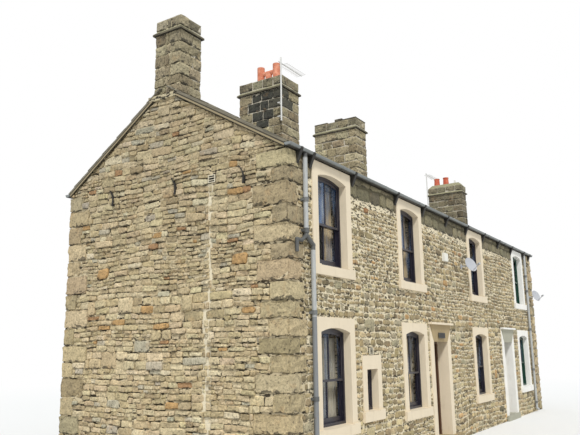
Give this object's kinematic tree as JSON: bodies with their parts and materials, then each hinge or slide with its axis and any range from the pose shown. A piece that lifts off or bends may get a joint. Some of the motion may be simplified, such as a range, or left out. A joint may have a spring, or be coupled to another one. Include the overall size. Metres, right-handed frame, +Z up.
{
  "type": "terraced house row",
  "caption": "Row of two-storey rubble stone cottages under one pitched roof, with sash windows, hooded doorways with hinged doors and tall stone chimney stacks.",
  "frame": {"origin": "centre of the plan on the underside of the ground floor, level with the ground", "axes": "+X along the front towards the far gable, +Y from the front into the house, +Z up"},
  "size_m": [15.464, 5.59, 8.37],
  "materials": {
    "ground_floor": "matte",
    "upper_floor": "matte",
    "near_gable_wall": "matte",
    "far_gable_wall": "matte",
    "front_wall_near": "matte",
    "front_wall_middle": "matte",
    "front_wall_far": "matte",
    "wall_over_door_1": "matte",
    "wall_over_door_2": "matte",
    "rear_wall_near": "matte",
    "rear_wall_far": "matte",
    "window_lintels": "matte",
    "window_jambs": "matte",
    "window_sills": "matte",
    "window_frames": "satin",
    "window_sashes": "satin",
    "window_glass": "polished",
    "door_jambs": "matte",
    "door_heads": "matte",
    "door_hoods": "matte",
    "door_steps": "matte",
    "door_frame_1": "satin",
    "door_frame_2": "satin",
    "front_door_1": "satin",
    "front_door_2": "satin",
    "chimney_breasts": "matte",
    "chimney_stack_1": "matte",
    "chimney_stack_2": "matte",
    "chimney_stack_3": "matte",
    "chimney_stack_4": "matte",
    "stack_drip_slabs": "matte",
    "stack_caps": "matte",
    "stack_toppings": "matte",
    "two_tube_pot": "matte",
    "plain_pots": "matte",
    "vent_pipe": "matte",
    "roof_front": "matte",
    "roof_rear": "matte",
    "ridge_tiles": "matte",
    "gutters": "satin",
    "gutter_brackets": "matte",
    "downpipes": "satin",
    "aerials": "satin",
    "satellite_dishes": "matte",
    "wall_fittings": "matte"
  },
  "bodies": {
    "house": {"ground_floor": "ground_floor", "upper_floor": "upper_floor", "near_gable_wall": "near_gable_wall", "far_gable_wall": "far_gable_wall", "front_wall_near": "front_wall_near", "front_wall_middle": "front_wall_middle", "front_wall_far": "front_wall_far", "wall_over_door_1": "wall_over_door_1", "wall_over_door_2": "wall_over_door_2", "rear_wall_near": "rear_wall_near", "rear_wall_far": "rear_wall_far", "window_lintels": "window_lintels", "window_jambs": "window_jambs", "window_sills": "window_sills", "window_frames": "window_frames", "window_sashes": "window_sashes", "window_glass": "window_glass", "door_jambs": "door_jambs", "door_heads": "door_heads", "door_hoods": "door_hoods", "door_steps": "door_steps", "door_frame_1": "door_frame_1", "door_frame_2": "door_frame_2", "chimney_breasts": "chimney_breasts", "chimney_stack_1": "chimney_stack_1", "chimney_stack_2": "chimney_stack_2", "chimney_stack_3": "chimney_stack_3", "chimney_stack_4": "chimney_stack_4", "stack_drip_slabs": "stack_drip_slabs", "stack_caps": "stack_caps", "stack_toppings": "stack_toppings", "two_tube_pot": "two_tube_pot", "plain_pots": "plain_pots", "vent_pipe": "vent_pipe", "roof_front": "roof_front", "roof_rear": "roof_rear", "ridge_tiles": "ridge_tiles", "gutters": "gutters", "gutter_brackets": "gutter_brackets", "downpipes": "downpipes", "aerials": "aerials", "satellite_dishes": "satellite_dishes", "wall_fittings": "wall_fittings"},
    "door_leaf_1": {"front_door_1": "front_door_1"},
    "door_leaf_2": {"front_door_2": "front_door_2"}
  },
  "joints": [
    {"name": "front_door_1_hinge", "type": "hinge", "parent": "house", "child": "door_leaf_1", "pos_m": [-1.114, -2.147, 1.15], "axis": [0, 0, -1], "range_deg": [0, 90]},
    {"name": "front_door_2_hinge", "type": "hinge", "parent": "house", "child": "door_leaf_2", "pos_m": [4.456, -2.147, 1.15], "axis": [0, 0, -1], "range_deg": [0, 90]}
  ]
}
